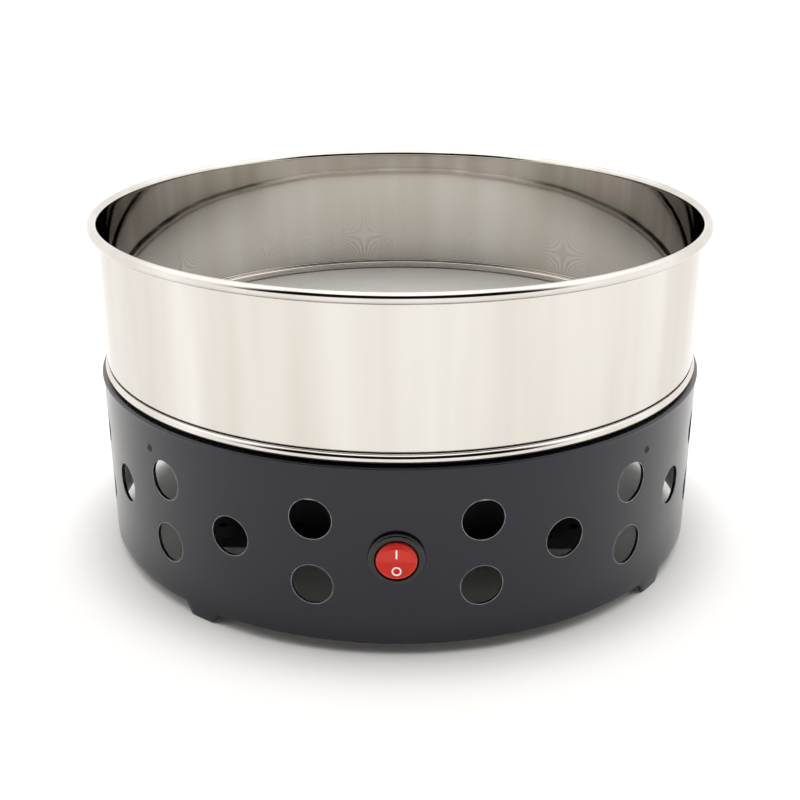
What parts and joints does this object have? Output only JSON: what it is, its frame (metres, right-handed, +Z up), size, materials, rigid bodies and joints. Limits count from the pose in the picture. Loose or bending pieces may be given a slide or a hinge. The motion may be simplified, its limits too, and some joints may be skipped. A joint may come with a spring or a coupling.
{
  "type": "coffee bean cooler",
  "caption": "Round sieve tray of polished steel that lifts off a charcoal vented base, with a fan inside and a red rocker switch on the front.",
  "frame": {"origin": "on the surface it stands on, at the middle of the round base", "axes": "+Z up along the axis of the tray and base, -Y towards the front with the rocker switch, +X to the right of a person facing the switch"},
  "size_m": [0.2739, 0.2812, 0.148],
  "materials": {
    "polished_steel": "polished stainless sheet",
    "woven_steel": "woven stainless wire",
    "charcoal_paint": "satin powder coat",
    "galvanised_steel": "galvanised",
    "black_cast": "black painted die casting",
    "black_plastic": "fine texture",
    "red_plastic": "gloss",
    "zinc_plate": "bright zinc plate",
    "dark_screw": "black oxide",
    "copper": "enamelled copper wire",
    "brass": "plain",
    "brown_wire": "smooth insulation",
    "blue_wire": "smooth insulation",
    "green_wire": "smooth insulation"
  },
  "bodies": {
    "base": {"base_shell": "charcoal_paint", "deck_plate": "galvanised_steel", "deck_screw_1": "dark_screw", "deck_screw_2": "dark_screw", "deck_screw_3": "dark_screw", "deck_screw_4": "dark_screw", "fan_frame": "black_cast", "fan_terminal_1": "brass", "fan_terminal_2": "brass", "stator_core": "galvanised_steel", "winding_upper": "copper", "winding_lower": "copper", "bearing_upper": "zinc_plate", "bearing_lower": "zinc_plate", "finger_guard": "zinc_plate", "fan_screw_1": "zinc_plate", "fan_screw_2": "zinc_plate", "fan_screw_3": "zinc_plate", "fan_screw_4": "zinc_plate", "fan_nut_1": "zinc_plate", "fan_nut_2": "zinc_plate", "fan_nut_3": "zinc_plate", "fan_nut_4": "zinc_plate", "switch_body": "black_plastic", "switch_terminal_1": "brass", "switch_terminal_2": "brass", "inlet_housing": "black_plastic", "inlet_pin_line": "brass", "inlet_pin_neutral": "brass", "inlet_pin_earth": "brass", "inlet_screw_1": "dark_screw", "inlet_screw_2": "dark_screw", "inlet_nut_1": "zinc_plate", "inlet_nut_2": "zinc_plate", "wire_line_in": "brown_wire", "wire_line_out": "brown_wire", "wire_neutral": "blue_wire", "wire_earth": "green_wire"},
    "tray": {"tray_wall": "polished_steel", "mesh_clamp_ring": "polished_steel", "mesh_support_ring": "polished_steel", "sieve_mesh": "woven_steel"},
    "rotor": {"impeller": "black_plastic", "rotor_cup": "galvanised_steel", "motor_shaft": "zinc_plate"},
    "rocker": {"switch_rocker": "red_plastic"}
  },
  "joints": [
    {"name": "fan_spin", "type": "hinge", "parent": "base", "child": "rotor", "pos_m": [0, 0, 0.0455], "axis": [0, 0, 1], "continuous": true},
    {"name": "rocker_tilt", "type": "hinge", "parent": "base", "child": "rocker", "pos_m": [0, -0.13666, 0.0434], "axis": [-1, 0, 0], "range_deg": [0, 18]},
    {"name": "tray_lift", "type": "slide", "parent": "base", "child": "tray", "axis": [0, 0, 1], "range_m": [0, 0.06]}
  ]
}
